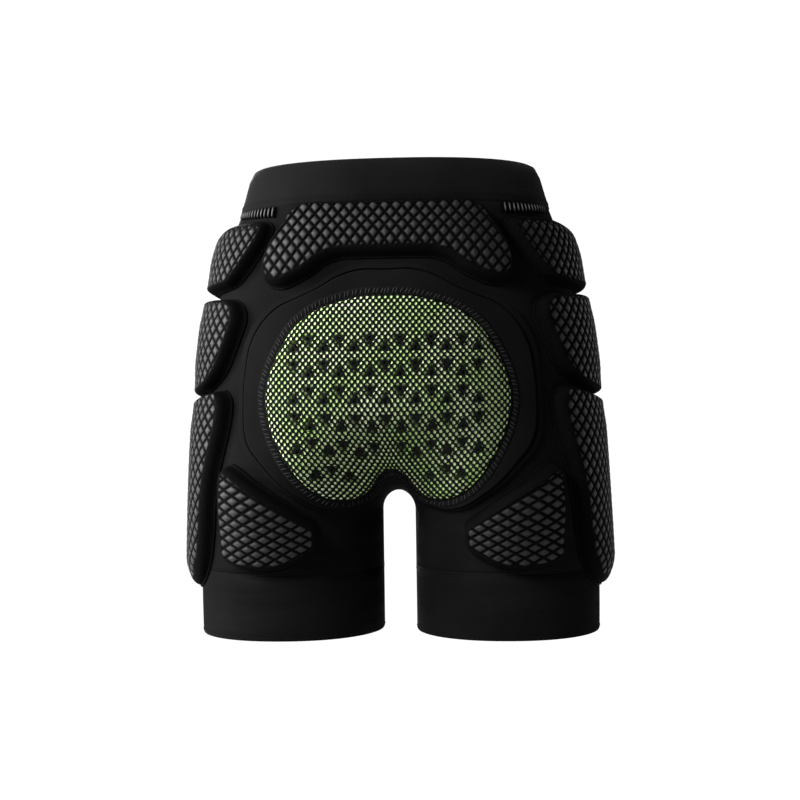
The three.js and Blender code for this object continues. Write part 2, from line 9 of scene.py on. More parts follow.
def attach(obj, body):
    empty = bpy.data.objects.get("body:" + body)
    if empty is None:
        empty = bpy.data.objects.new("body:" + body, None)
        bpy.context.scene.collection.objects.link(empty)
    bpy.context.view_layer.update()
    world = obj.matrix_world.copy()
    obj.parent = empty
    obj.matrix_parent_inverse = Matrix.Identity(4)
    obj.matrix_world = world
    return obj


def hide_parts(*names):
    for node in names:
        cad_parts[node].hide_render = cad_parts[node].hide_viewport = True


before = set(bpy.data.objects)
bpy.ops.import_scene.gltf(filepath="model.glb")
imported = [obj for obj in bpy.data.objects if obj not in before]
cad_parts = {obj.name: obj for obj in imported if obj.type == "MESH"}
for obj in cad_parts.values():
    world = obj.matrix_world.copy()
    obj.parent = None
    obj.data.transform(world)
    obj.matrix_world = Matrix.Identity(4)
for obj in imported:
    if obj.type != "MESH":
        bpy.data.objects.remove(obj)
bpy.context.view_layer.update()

# Studio
# The shorts are held up in a white room, their hems clear of a pale floor. A large
# soft light stands at the left of the rear view, with weaker ones round the rest.
middle_height = -0.18825
camera_distance = 1.4
photo_pixel = 0.0009125
photo_width = 800
sensor_width = 36
turned = math.radians(4.5)
leaning = math.radians(0.8)
white_level = 1.05
room_light = 0.03
floor_level = -0.75
floor_half = 4
camera_data = bpy.data.cameras.new("rear_camera")
camera_data.sensor_width = sensor_width
camera_data.lens = sensor_width * (camera_distance / photo_pixel) / photo_width
camera_data.shift_x = 0.0025
camera_data.clip_start = 0.05
camera_data.clip_end = 30
camera = bpy.data.objects.new("rear_camera", camera_data)
camera.location = (camera_distance * math.sin(turned), -camera_distance * math.cos(turned), middle_height)
camera.rotation_mode = "QUATERNION"
upright = Matrix.Rotation(math.radians(90), 4, "X")
camera.rotation_quaternion = (
    Matrix.Rotation(turned, 4, "Z") @ upright @ Matrix.Rotation(-leaning, 4, "Z")
).to_quaternion()
bpy.context.scene.collection.objects.link(camera)
bpy.context.scene.camera = camera
bpy.context.scene.view_settings.view_transform = "Standard"


def soft_light(name, place, size, power):
    data = bpy.data.lights.new(name, "AREA")
    data.shape = "RECTANGLE"
    data.size, data.size_y = size
    data.energy = power
    lamp = bpy.data.objects.new(name, data)
    lamp.location = place
    away = Vector(place) - Vector((0, 0, middle_height))
    lamp.rotation_mode = "QUATERNION"
    lamp.rotation_quaternion = away.to_track_quat("Z", "Y")
    bpy.context.scene.collection.objects.link(lamp)


# each light's place, its width and height, and its watts
for name, place, size, power in (
    ("left_window", (-2.15, -0.2, 0.35), (0.9, 1.3), 150),
    ("rear_fill", (-1.2, -1.5, 0.95), (0.7, 0.7), 80),
    ("low_right_fill", (1.9, -0.8, -0.4), (0.6, 0.6), 8),
    ("front_fill", (-0.45, 2.2, 0.7), (1.2, 1.4), 150),
    ("front_right_fill", (1.7, 1.5, 0.3), (1.0, 1.4), 8),
):
    soft_light(name, place, size, power)


def add(tree, kind, values=None):
    """A new shader node with some of its inputs set."""
    node = tree.nodes.new("ShaderNode" + kind)
    for name, value in (values or {}).items():
        node.inputs[name].default_value = value
    return node


def wire(tree, *wires):
    """Links outputs to inputs: a node and its output, then a node and its input."""
    for source, output, target, into in wires:
        tree.links.new(source.outputs[output], target.inputs[into])


def new_material(name):
    material = bpy.data.materials.new(name)
    material.use_nodes = True
    return material, material.node_tree, material.node_tree.nodes["Principled BSDF"]


world = bpy.data.worlds.new("white_room")
bpy.context.scene.world = world
world.use_nodes = True
room = world.node_tree
for node in list(room.nodes):
    room.nodes.remove(node)
seen = add(room, "LightPath")
bright = add(room, "Background", {"Color": (1, 1, 1, 1), "Strength": white_level})
dim = add(room, "Background", {"Color": (1, 1, 1, 1), "Strength": room_light})
either = add(room, "MixShader")
room_out = add(room, "OutputWorld")
wire(
    room,
    (seen, "Is Camera Ray", either, "Fac"),
    (dim, "Background", either, 1),
    (bright, "Background", either, 2),
    (either, "Shader", room_out, "Surface"),
)

card = bmesh.new()
floor_place = Matrix.Translation((0, 0, floor_level))
bmesh.ops.create_grid(card, x_segments=1, y_segments=1, size=floor_half, matrix=floor_place)
card_mesh = bpy.data.meshes.new("floor")
card.to_mesh(card_mesh)
card.free()
floor = bpy.data.objects.new("floor", card_mesh)
bpy.context.scene.collection.objects.link(floor)
pale, card_nodes, card_paint = new_material("pale_card")
card_paint.inputs["Base Color"].default_value = (0.30, 0.30, 0.30, 1)
card_paint.inputs["Roughness"].default_value = 0.9
lit = add(card_nodes, "Emission", {"Strength": white_level})
looked_at = add(card_nodes, "LightPath")
card_mix = add(card_nodes, "MixShader")
wire(
    card_nodes,
    (looked_at, "Is Camera Ray", card_mix, "Fac"),
    (card_paint, "BSDF", card_mix, 1),
    (lit, "Emission", card_mix, 2),
    (card_mix, "Shader", card_nodes.nodes["Material Output"], "Surface"),
)
floor.data.materials.append(pale)

# Shorts shell
# Two legs and a seat cut from thin black stretch knit, open at the waist and the
# hems. It is filled out as on a body, and every pad is bonded to its outside.
band_top = 0.0185
garment_height = 0.4135
hip_half_width = 0.1715
seat_depth = 0.123
belly_depth = 0.102
crotch_drop = 0.289
arch_rise = 0.016
leg_gap = 0.030
arch_softness = 0.0105
hip_blend = 0.100
hip_power = 2.35
leg_power = 2.15
hem_level = band_top - garment_height
# drop down the garment, half width, rear depth and front depth, as shares
sections = np.array([
    [0.000, 0.748, 0.775, 0.950],
    [0.083, 0.806, 0.795, 0.960],
    [0.140, 0.856, 0.815, 0.960],
    [0.220, 0.904, 0.885, 0.990],
    [0.300, 0.943, 0.940, 1.000],
    [0.400, 0.976, 0.985, 0.980],
    [0.500, 1.000, 1.000, 0.950],
    [0.600, 1.018, 0.955, 0.920],
    [0.700, 1.032, 0.860, 0.900],
    [0.800, 1.044, 0.780, 0.880],
    [0.900, 1.052, 0.735, 0.855],
    [1.000, 1.050, 0.710, 0.830],
])


def column(k, drop):
    drop = np.clip(drop, 0, 1)
    rows = sections[:, 0]
    values = sections[:, k]
    slopes = np.empty(len(rows))
    slopes[1:-1] = (values[2:] - values[:-2]) / (rows[2:] - rows[:-2])
    slopes[0] = (values[1] - values[0]) / (rows[1] - rows[0])
    slopes[-1] = (values[-1] - values[-2]) / (rows[-1] - rows[-2])
    i = np.clip(np.searchsorted(rows, drop, side="right") - 1, 0, len(rows) - 2)
    span = rows[i + 1] - rows[i]
    t = (drop - rows[i]) / span
    return (
        (2 * t**3 - 3 * t**2 + 1) * values[i]
        + (3 * t**2 - 2 * t**3) * values[i + 1]
        + span * ((t**3 - 2 * t**2 + t) * slopes[i] + (t**3 - t**2) * slopes[i + 1])
    )


inner_edge = math.hypot(leg_gap / 2, arch_softness)
arch_foot = band_top - crotch_drop - arch_rise


def form(p):
    """Negative inside the filled-out shorts and positive outside."""
    x, y, z = p[..., 0], p[..., 1], p[..., 2]
    drop = (band_top - z) / garment_height
    width = column(1, drop) * hip_half_width
    rear = column(2, drop) * seat_depth
    front = column(3, drop) * belly_depth
    t = np.clip((z - arch_foot) / hip_blend, 0, 1)
    blend = t * t * (3 - 2 * t)
    depth = np.abs(y) / np.where(y > 0, front, rear)
    across = np.abs(np.hypot(x, arch_softness) - (width + inner_edge) / 2)
    leg_radius = (width - inner_edge) / 2
    leg = ((across / leg_radius) ** leg_power + depth**leg_power) ** (1 / leg_power) - 1
    hip = ((np.abs(x) / width) ** hip_power + depth**hip_power) ** (1 / hip_power) - 1
    return (1 - blend) * leg * leg_radius + blend * hip * (rear + front) / 2


def outward(p):
    step = 0.0004
    ways = []
    for k in range(3):
        shift = np.zeros(3)
        shift[k] = step
        ways.append(form(p + shift) - form(p - shift))
    way = np.stack(ways, axis=-1) / (2 * step)
    size = np.linalg.norm(way, axis=-1, keepdims=True)
    return way / size, size[..., 0]


newton_rounds = 7


def onto_form(p, proud):
    """Moves points straight out or in until they stand proud by the given amount."""
    p = p.copy()
    for _ in range(newton_rounds):
        seat = p - outward(p)[0] * proud[:, None]
        way, slope = outward(seat)
        p = p - way * (form(seat) / slope)[:, None]
    return p


def mesh_object(name, bm, material):
    mesh = bpy.data.meshes.new(name)
    bm.to_mesh(mesh)
    bm.free()
    for polygon in mesh.polygons:
        polygon.use_smooth = True
    piece = bpy.data.objects.new(name, mesh)
    bpy.context.scene.collection.objects.link(piece)
    mesh.materials.append(material)
    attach(piece, "root")
    return piece


same_place = 2e-5
same_point = 1e-6
same_level = 1e-4
quad_angle = math.radians(60)
quad_skew = math.radians(70)


def merged_copy(node):
    """A node's own solid, its loose triangles joined and paired into four-sided faces."""
    bm = bmesh.new()
    bm.from_mesh(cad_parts[node].data)
    bmesh.ops.remove_doubles(bm, verts=bm.verts, dist=same_place)
    bmesh.ops.join_triangles(
        bm, faces=bm.faces, angle_face_threshold=quad_angle, angle_shape_threshold=quad_skew
    )
    return bm


def places(bm):
    return np.array([v.co for v in bm.verts])


def put(bm, points):
    for v, p in zip(bm.verts, points):
        v.co = p


def standing(points):
    """How far each point stands proud of the form."""
    return form(points) / outward(points)[1]


# among a colour mix's sockets, its two colours and its result
first_colour, second_colour, mixed = 6, 7, 2


def colour_ramp(tree, low, low_colour, high, high_colour):
    ramp = add(tree, "ValToRGB")
    ends = ramp.color_ramp.elements
    ends[0].position = low
    ends[0].color = (*low_colour, 1)
    ends[1].position = high
    ends[1].color = (*high_colour, 1)
    return ramp


def multiplied(tree, factor):
    mix = add(tree, "Mix")
    mix.data_type = "RGBA"
    mix.blend_type = "MULTIPLY"
    mix.inputs["Factor"].default_value = factor
    return mix


wave_length = 0.314  # of a wave texture at scale 1
nap_share = 1.3
dark_share, pale_share = 0.72, 1.25
roughness_spread = 0.08
crease_depth = 0.006


def stretch_cloth(name, shade, course, sheen, rough, creased=0.0):
    """Black knit: fine courses and wales, a soft nap, slow changes of tone, and level creases."""
    material, tree, skin = new_material(name)
    place = add(tree, "TexCoord")
    courses = add(tree, "TexWave", {
        "Scale": wave_length / course, "Distortion": 1.2, "Detail Scale": 3.0,
    })
    courses.bands_direction = "Z"
    nap = add(tree, "TexNoise", {"Scale": nap_share / course, "Detail": 3})
    tone = add(tree, "TexNoise", {"Scale": 14, "Detail": 4})
    shades = colour_ramp(
        tree, 0.3, [dark_share * c for c in shade], 0.7, [pale_share * c for c in shade]
    )
    thread = multiplied(tree, 0.45)
    weave = add(tree, "Math", {1: 0.5})
    weave.operation = "MULTIPLY_ADD"
    bump = add(tree, "Bump", {"Strength": 0.35, "Distance": 0.0004})
    spread = add(tree, "MapRange", {
        "To Min": rough - roughness_spread, "To Max": rough + roughness_spread,
    })
    flattened = add(tree, "Mapping", {"Scale": (7, 7, 52)})
    folds = add(tree, "TexNoise", {"Scale": 1, "Detail": 1.5})
    crease = add(tree, "Bump", {"Strength": creased, "Distance": crease_depth})
    wire(
        tree,
        (place, "Object", courses, "Vector"),
        (place, "Object", nap, "Vector"),
        (place, "Object", tone, "Vector"),
        (tone, "Fac", shades, "Fac"),
        (shades, "Color", thread, first_colour),
        (nap, "Color", thread, second_colour),
        (thread, mixed, skin, "Base Color"),
        (courses, "Fac", weave, 0),
        (nap, "Fac", weave, 2),
        (weave, "Value", bump, "Height"),
        (nap, "Fac", spread, "Value"),
        (spread, "Result", skin, "Roughness"),
        (place, "Object", flattened, "Vector"),
        (flattened, "Vector", folds, "Vector"),
        (folds, "Fac", crease, "Height"),
        (bump, "Normal", crease, "Normal"),
        (crease, "Normal", skin, "Normal"),
    )
    skin.inputs["Sheen Weight"].default_value = sheen
    skin.inputs["Sheen Roughness"].default_value = 0.45
    skin.inputs["Specular IOR Level"].default_value = 0.02
    return material


def smooth_wall(node, cuts, drawn_in=None, rims_only=False):
    """The node's solid cut finer, with every point back on the true curved form.

    All points keep their level, or those on its rims alone. drawn_in says how far
    the wall is drawn in at each level.
    """
    bm = merged_copy(node)
    depth = bm.verts.layers.float.new("proud")
    for v, value in zip(bm.verts, standing(places(bm))):
        v[depth] = value
    bmesh.ops.subdivide_edges(bm, edges=bm.edges, cuts=cuts, use_grid_fill=True)
    proud = np.array([v[depth] for v in bm.verts])
    bm.verts.layers.float.remove(depth)
    points = places(bm)
    levels = points[:, 2]
    if drawn_in:
        proud = proud - drawn_in(levels)
    smooth = onto_form(points, proud)
    at_rim = (levels > levels.max() - same_level) | (levels < levels.min() + same_level)
    kept = at_rim if rims_only else np.ones(len(levels), bool)
    smooth[kept, 2] = levels[kept]
    put(bm, smooth)
    return bm


body_knit = stretch_cloth("body_knit", (0.0048, 0.0048, 0.0048), 0.0009, 0.003, 0.85, 0.65)
shorts = mesh_object("shorts_body", smooth_wall("shorts_shell", 3, rims_only=True), body_knit)
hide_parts("shorts_shell")

# Seams
# Rows of lockstitch in black thread hold the band, the cuffs and the pads down.
# Every stitch is a short thread pulled in at both ends.
thread = stretch_cloth("sewing_thread", (0.009, 0.009, 0.009), 0.0005, 0.0, 0.6)
stitch_long = 0.0024
stitch_thick = 0.0006
stitch_pitch = 0.0034
body_reach = 0.26
leg_reach = 0.105
halvings = 30
turn_steps = 720
welt_radius = 0.00035
welt_pitch = 0.002
welt_sunk = 0.0001


def stitches(bm, middles, alongs, outs, long, thick):
    """Short threads lying along given directions, pulled down at both ends."""
    for middle, along, out in zip(middles, alongs, outs):
        along, out = Vector(along).normalized(), Vector(out).normalized()
        across = out.cross(along)
        turn = Matrix((along, across, out)).transposed().to_4x4()
        size = Matrix.Diagonal((long / 2, thick / 2, thick / 2, 1))
        bmesh.ops.create_uvsphere(
            bm, u_segments=6, v_segments=4, radius=1, matrix=Matrix.Translation(middle) @ turn @ size
        )


def cast(start, along, limit=body_reach):
    """From points inside the form out to its surface."""
    near = np.zeros(len(start))
    far = np.full(len(start), limit)
    for _ in range(halvings):
        middle = (near + far) / 2
        inside = form(start + along * middle[:, None]) < 0
        near = np.where(inside, middle, near)
        far = np.where(inside, far, middle)
    return start + along * near[:, None]


def walked(line, stops_for):
    """Points along a closed line, at the stops that are chosen for its length."""
    closed = np.vstack([line, line[:1]])
    so_far = np.concatenate([[0], np.cumsum(np.linalg.norm(np.diff(closed, axis=0), axis=1))])
    stops = stops_for(so_far[-1])
    return np.stack([np.interp(stops, so_far, values) for values in closed.T], axis=-1)


def level_row(level, proud, middle_x=0, limit=body_reach, pitch=stitch_pitch):
    """Evenly spaced points round the form at one level, standing proud of it."""
    turns = np.linspace(0, 2 * math.pi, turn_steps, endpoint=False)
    ways = np.stack([np.cos(turns), np.sin(turns), np.zeros(turn_steps)], axis=-1)
    start = np.tile([middle_x, 0.0, level], (turn_steps, 1))
    row = walked(cast(start, ways, limit), lambda length: np.arange(0, length - pitch / 2, pitch))
    out = outward(row)[0]
    return row + out * proud, np.roll(row, -1, axis=0) - np.roll(row, 1, axis=0), out


def seam(name, rows):
    bm = bmesh.new()
    for middles, alongs, outs in rows:
        stitches(bm, middles, alongs, outs, stitch_long, stitch_thick)
    sewn = mesh_object(name, bm, thread)


def welt(name, level, middle_x=0, limit=body_reach):
    """A thin rolled edge that fills the join between two pieces of cloth."""
    row, _, out = level_row(level, -welt_sunk, middle_x, limit, welt_pitch)
    bm = bmesh.new()
    bmesh.ops.create_grid(bm, x_segments=len(row), y_segments=8, size=0.5)
    square = places(bm)[:, :2] + 0.5
    k = np.round(square[:, 0] * len(row)).astype(int) % len(row)
    turn = 2 * math.pi * square[:, 1:]
    put(bm, row[k] + welt_radius * (np.cos(turn) * out[k] + np.sin(turn) * [0, 0, 1]))
    bmesh.ops.remove_doubles(bm, verts=bm.verts, dist=same_point)
    bmesh.ops.recalc_face_normals(bm, faces=bm.faces)
    rolled_edge = mesh_object(name, bm, thread)


# Waistband
# A wide smooth band of woven elastic, sewn to the top edge of the shell. It has
# fine ribs along its length, and its top edge rolls softly inwards.
roll_start = 0.0105
roll_tall = 0.008
roll_in = 0.0028
band_foot = -0.0187
band_stitch_levels = (-0.0146, -0.0131)
band_stitch_proud = 0.0011


def rolled_top(levels):
    return roll_in * np.clip((levels - roll_start) / roll_tall, 0, 1) ** 2


band_cloth = stretch_cloth("woven_elastic", (0.0060, 0.0060, 0.0060), 0.0016, 0.030, 0.8, 0.12)
waistband = mesh_object("elastic_waistband", smooth_wall("waistband", 3, rolled_top), band_cloth)
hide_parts("waistband")
seam("waistband_stitch", [level_row(level, band_stitch_proud) for level in band_stitch_levels])
welt("waistband_welt", band_foot)

# Leg cuffs
# Plain bands of the same knit, folded double at the hem and sewn on under the
# thigh pads. A few shallow creases run round them where the cloth is loose.
cuff_top = 0.0579
cuff_stitch_rises = (0.0552, 0.0028)
cuff_stitch_proud = 0.0001
for side in ("left", "right"):
    cuff = smooth_wall(f"leg_cuff_{side}", 5)
    leg_middle = places(cuff)[:, 0].mean()
    cuff_piece = mesh_object(f"hem_cuff_{side}", cuff, body_knit)
    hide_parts(f"leg_cuff_{side}")
    seam(f"cuff_stitch_{side}", [
        level_row(hem_level + rise, cuff_stitch_proud, leg_middle, leg_reach) for rise in cuff_stitch_rises
    ])
    welt(f"cuff_welt_{side}", hem_level + cuff_top, leg_middle, leg_reach)

# Foam pads
# Cut from cloth-faced foam and pressed hot, which leaves a thin flange for the
# seam, a smooth rounded shoulder, and a face of small diamonds with grooves
# between them. Each pad is bonded and sewn to the shell round its flange.
side_axis = 0.085
side_radius = 0.088
loop_points = 480
knot_steps = 24


def on_back(flat):
    start = np.stack([flat[:, 0], np.zeros(len(flat)), flat[:, 1]], axis=-1)
    return cast(start, np.tile([0.0, -1.0, 0.0], (len(flat), 1)))


def on_side(flat):
    turn = flat[:, 0] / side_radius
    start = np.stack([np.full(len(flat), side_axis), np.zeros(len(flat)), flat[:, 1]], axis=-1)
    return cast(start, np.stack([np.cos(turn), -np.sin(turn), np.zeros(len(flat))], axis=-1))


def smooth_loop(table, wide, tall, top):
    """A smooth closed line through a table of shares, evenly spaced, in metres."""
    knots = np.array(table, float) * [wide, -tall] + [0, top]
    around = []
    for k in range(len(knots)):
        p0, p1, p2, p3 = (knots[(k + j - 1) % len(knots)] for j in range(4))
        t1 = np.linalg.norm(p1 - p0) ** 0.5
        t2 = t1 + np.linalg.norm(p2 - p1) ** 0.5
        t3 = t2 + np.linalg.norm(p3 - p2) ** 0.5
        for t in np.linspace(t1, t2, knot_steps, endpoint=False):
            a1 = (t1 - t) / t1 * p0 + t / t1 * p1
            a2 = (t2 - t) / (t2 - t1) * p1 + (t - t1) / (t2 - t1) * p2
            a3 = (t3 - t) / (t3 - t2) * p2 + (t - t2) / (t3 - t2) * p3
            b1 = (t2 - t) / t2 * a1 + t / t2 * a2
            b2 = (t3 - t) / (t3 - t1) * a2 + (t - t1) / (t3 - t1) * a3
            around.append((t2 - t) / (t2 - t1) * b1 + (t - t1) / (t2 - t1) * b2)
    return walked(np.array(around), lambda length: np.linspace(0, length, loop_points, endpoint=False))


def stretch_between(loop, s, t):
    """Spreads a square's points over the inside of a loop, side for side."""
    size = (loop.max(axis=0) - loop.min(axis=0)) / 2
    scaled = (loop - loop.mean(axis=0)) / size
    corners = [int(np.argmax(scaled @ way)) for way in ((-1, -1), (1, -1), (1, 1), (-1, 1))]

    def along(a, b, share):
        span = (b - a) % len(loop)
        backwards = (a - b) % len(loop)
        if span <= backwards:
            k = a + share * span
        else:
            k = a - share * backwards
        low = np.floor(k).astype(int)
        part = (k - low)[:, None]
        return loop[low % len(loop)] * (1 - part) + loop[(low + 1) % len(loop)] * part

    bl, br, tr, tl = corners
    foot, head = along(bl, br, s), along(tl, tr, s)
    west, east = along(bl, tl, t), along(br, tr, t)
    s, t = s[:, None], t[:, None]
    square = (1 - t) * ((1 - s) * loop[bl] + s * loop[br]) + t * (s * loop[tr] + (1 - s) * loop[tl])
    return (1 - t) * foot + t * head + (1 - s) * west + s * east - square


def from_edge(flat, loop):
    """Each point's distance from a closed line, and the way out to it."""
    ends = np.roll(loop, -1, axis=0)
    way = ends - loop
    length = (way**2).sum(axis=1)
    best = np.full(len(flat), 1e9)
    out = np.zeros((len(flat), 2))
    for a, w, l in zip(loop, way, length):
        t = np.clip(((flat - a) @ w) / l, 0, 1)
        to_edge = a + t[:, None] * w - flat
        away = (to_edge**2).sum(axis=1)
        nearer = away < best
        best[nearer] = away[nearer]
        out[nearer] = to_edge[nearer]
    distance = np.sqrt(best)
    return distance, out / np.maximum(distance, 1e-6)[:, None]


def ease(value, low, high):
    t = np.clip((value - low) / (high - low), 0, 1)
    return t * t * (3 - 2 * t)


crest_fullness = 2.2


def diamonds(flat, wide, tall):
    """Small pillows in offset rows: 1 at each crest and 0 in the grooves."""
    a = flat[:, 0] / wide + flat[:, 1] / tall
    b = flat[:, 0] / wide - flat[:, 1] / tall
    crest = np.minimum(np.cos(np.pi * (a - np.round(a))), np.cos(np.pi * (b - np.round(b))))
    return 1 - (1 - np.clip(crest, 0, 1)) ** crest_fullness


def foam_cloth(name, groove, crest):
    """Cloth pressed on to foam: dull and dark in the grooves, and painted paler on the crests as a
    highlight.
    """
    material, tree, skin = new_material(name)
    relief = add(tree, "Attribute")
    relief.attribute_name = "relief"
    place = add(tree, "TexCoord")
    grain = add(tree, "TexVoronoi", {"Scale": 1500})
    tone = add(tree, "TexNoise", {"Scale": 330, "Detail": 4})
    # The relief turns the colour from the groove colour to the paler crest colour. The pale crests are a
    # painted highlight.
    shades = colour_ramp(tree, 0.62, groove, 0.95, crest)
    # Random tone noise mottles the painted highlight.
    mottle_and_painted_highlight = multiplied(tree, 0.7)
    bump = add(tree, "Bump", {"Strength": 0.6, "Distance": 0.0004})
    spread = add(tree, "MapRange", {"To Min": 0.95, "To Max": 0.48})
    fuzz = add(tree, "MapRange", {"From Min": 0.5, "To Max": 0.08})
    gloss = add(tree, "MapRange", {"From Min": 0.6, "To Min": 0.02, "To Max": 0.25})
    wire(
        tree,
        (place, "Object", grain, "Vector"),
        (place, "Object", tone, "Vector"),
        (relief, "Fac", shades, "Fac"),
        (shades, "Color", mottle_and_painted_highlight, first_colour),
        (tone, "Color", mottle_and_painted_highlight, second_colour),
        (mottle_and_painted_highlight, mixed, skin, "Base Color"),
        (grain, "Distance", bump, "Height"),
        (bump, "Normal", skin, "Normal"),
        (relief, "Fac", spread, "Value"),
        (spread, "Result", skin, "Roughness"),
        (relief, "Fac", fuzz, "Value"),
        (fuzz, "Result", skin, "Sheen Weight"),
        (relief, "Fac", gloss, "Value"),
        (gloss, "Result", skin, "Specular IOR Level"),
    )
    skin.inputs["Sheen Roughness"].default_value = 0.4
    return material


# Dark cloth in the grooves, and a paler crest colour that is a painted highlight.
pressed_foam = foam_cloth("pressed_foam", (0.0026, 0.0026, 0.0026), (0.0090, 0.0090, 0.0088))
off_cloth = 0.0003
flange_width = 0.0024
flange_height = 0.0014
shoulder_width = 0.0085
pad_height = 0.0146
groove_depth = 0.0021
border_width = 0.0052
cut_edge = 0.0007
face_edge = 0.0016
seam_width = 0.0009
seam_inset = 0.0009
narrowest = 0.4
crown_share = 0.1
crown_reach = (0.006, 0.030)
shoulder_tone, flange_tone = 0.34, 0.14
under_pitch = 0.006
under_share = 0.94
small_step = 0.0005
arc_slack = 1.08
pad_step = 0.00112


def pad_skin(flat, loop, cell, shoulders):
    """How high a pad stands over each point, and how pale its relief is there. The paleness of the crests
    is a painted highlight.
    """
    edge, out = from_edge(flat, loop)
    right, top, left, bottom = shoulders
    wide = out[:, 0] ** 2 * np.where(out[:, 0] > 0, right, left)
    wide = np.maximum(wide + out[:, 1] ** 2 * np.where(out[:, 1] > 0, top, bottom), narrowest)
    flange = flange_width * np.minimum(wide, 1)
    rise = np.clip((edge - flange) / (shoulder_width * wide), 0, 1)
    shoulder = np.sqrt(1 - (1 - rise) ** 2)
    crown = 1 - crown_share + crown_share * ease(edge, *crown_reach)
    height = off_cloth + flange_height * ease(edge, 0, cut_edge)
    height = height + (pad_height - flange_height) * shoulder * crown
    start = flange + border_width * np.minimum(wide, 1)
    face = ease(edge - start, 0, face_edge)
    crest = diamonds(flat, *cell)
    height = height - groove_depth * face * (1 - crest)
    smooth = shoulder_tone + flange_tone * (edge < flange)
    shade = 1 - np.exp(-(((edge - flange) / seam_width) ** 2))
    smooth = smooth * shade * ease(edge, 0, seam_width)
    return height, smooth + face * (crest - smooth)


def laid_body(spread, onto, skin, counts, under_counts):
    """A closed piece lying on the cloth: a fine upper side and a plain underside."""
    bm = bmesh.new()
    bmesh.ops.create_grid(bm, x_segments=counts[0], y_segments=counts[1], size=0.5)
    square = places(bm)[:, :2] + 0.5
    flat = spread(square[:, 0], square[:, 1])
    height, relief = skin(flat)
    seat = onto(flat)
    put(bm, seat + outward(seat)[0] * height[:, None])
    # The materials paint colour from this relief: a painted highlight on pad crests and gather ribs, and
    # near-black holes in the seat pad.
    paleness = bm.verts.layers.float.new("relief")
    for v, value in zip(bm.verts, relief):
        v[paleness] = value
    rim = [e for e in bm.edges if e.is_boundary]
    base = bmesh.ops.create_grid(
        bm, x_segments=under_counts[0], y_segments=under_counts[1], size=0.5
    )["verts"]
    square = 0.5 + under_share * np.array([v.co[:2] for v in base])
    seat = onto(spread(square[:, 0], square[:, 1]))
    for v, p in zip(base, seat + outward(seat)[0] * off_cloth):
        v.co = p
    under = set(base)
    base_rim = [e for e in bm.edges if e.is_boundary and e.verts[0] in under]
    bmesh.ops.bridge_loops(bm, edges=rim + base_rim)
    bmesh.ops.recalc_face_normals(bm, faces=bm.faces)
    return bm


def other_side(bm):
    """The wearer's left piece from the right one."""
    bmesh.ops.scale(bm, vec=(-1, 1, 1), verts=bm.verts)
    bmesh.ops.reverse_faces(bm, faces=bm.faces)
    return bm


def loop_ways(loop):
    """The way along a closed line at each of its points, and the way straight out."""
    along = np.roll(loop, -1, axis=0) - np.roll(loop, 1, axis=0)
    along = along / np.linalg.norm(along, axis=1, keepdims=True)
    out = np.stack([-along[:, 1], along[:, 0]], axis=-1)
    return along, out * np.sign(((loop - loop.mean(axis=0)) * out).sum())


def edge_row(loop, onto, inset, proud):
    """Stitches at an even pitch, a little inside a closed line and proud of the form."""
    along, out = loop_ways(loop)
    length = np.linalg.norm(np.roll(loop, -1, axis=0) - loop, axis=1).sum()
    k = np.linspace(0, len(loop), int(length / stitch_pitch), endpoint=False).astype(int)
    flat = loop[k] - inset * out[k]
    seat = onto(flat)
    ways = outward(seat)[0]
    return seat + ways * proud, onto(flat + small_step * along[k]) - seat, ways


def foam_pad(nodes, loop, cell, onto, shoulders):
    wide, tall = loop.max(axis=0) - loop.min(axis=0)
    bm = laid_body(
        lambda s, t: stretch_between(loop, s, t),
        onto,
        lambda flat: pad_skin(flat, loop, cell, shoulders),
        (int(arc_slack * wide / pad_step), int(tall / pad_step)),
        (int(wide / under_pitch), int(tall / under_pitch)),
    )
    for node in nodes:
        if node.endswith("_left"):
            other_side(bm)
        piece = mesh_object(f"embossed_{node}", bm.copy(), pressed_foam)
        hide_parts(node)
    bm.free()
    row = edge_row(loop, onto, seam_inset, off_cloth + flange_height)
    for node in nodes:
        mirrored = [-1, 1, 1] if node.endswith("_left") else [1, 1, 1]
        seam(f"stitch_{node}", [[points * mirrored for points in row]])


def both_sides(table):
    """The right half of an outline, closed with its reflection."""
    return table + [(-across, down) for across, down in reversed(table) if across > 0]


lumbar_outline = both_sides([
    (0, 0), (0.35, 0), (0.64, 0), (0.77, 0.1), (0.85, 0.26), (0.94, 0.48), (0.995, 0.68),
    (1, 0.82), (0.955, 0.95), (0.88, 1), (0.79, 1), (0.69, 0.94), (0.585, 0.86),
    (0.48, 0.75), (0.37, 0.69), (0.2, 0.68), (0, 0.68),
])
lumbar_half_wide = 0.108
lumbar_tall = 0.074
lumbar_top = -0.0189
lumbar_loop = smooth_loop(lumbar_outline, lumbar_half_wide, lumbar_tall, lumbar_top)
side_cell = (0.0095, 0.0126)
foam_pad(["lumbar_pad"], lumbar_loop, side_cell, on_back, (1, 0.4, 1, 1.2))

